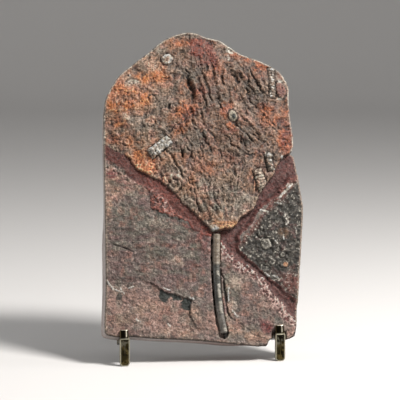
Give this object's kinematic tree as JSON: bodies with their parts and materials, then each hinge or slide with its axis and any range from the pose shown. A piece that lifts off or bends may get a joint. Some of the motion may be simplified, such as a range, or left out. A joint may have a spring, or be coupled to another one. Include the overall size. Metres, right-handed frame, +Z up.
{
  "type": "crinoid fossil on stand",
  "caption": "Sawn slab of rock with a sea lily's crown and stem in relief, leaning back on a small brass stand with front feet and a rear leg.",
  "frame": {"origin": "on the floor, under the middle of the whole object's bounding box", "axes": "+Z up, -Y the way the fossil's face looks, +X to the right of someone who looks at the face"},
  "size_m": [0.206, 0.144, 0.3203],
  "materials": {
    "fossil_rock": "matte, rough, orange-stained crown, maroon bands and grey-mauve panels",
    "stand_brass": "polished, lightly tarnished"
  },
  "bodies": {
    "root": {"fossil_slab": "fossil_rock", "left_foot": "stand_brass", "right_foot": "stand_brass", "left_arm": "stand_brass", "right_arm": "stand_brass", "lower_crossbar": "stand_brass", "upper_crossbar": "stand_brass", "rear_leg": "stand_brass"}
  },
  "joints": []
}
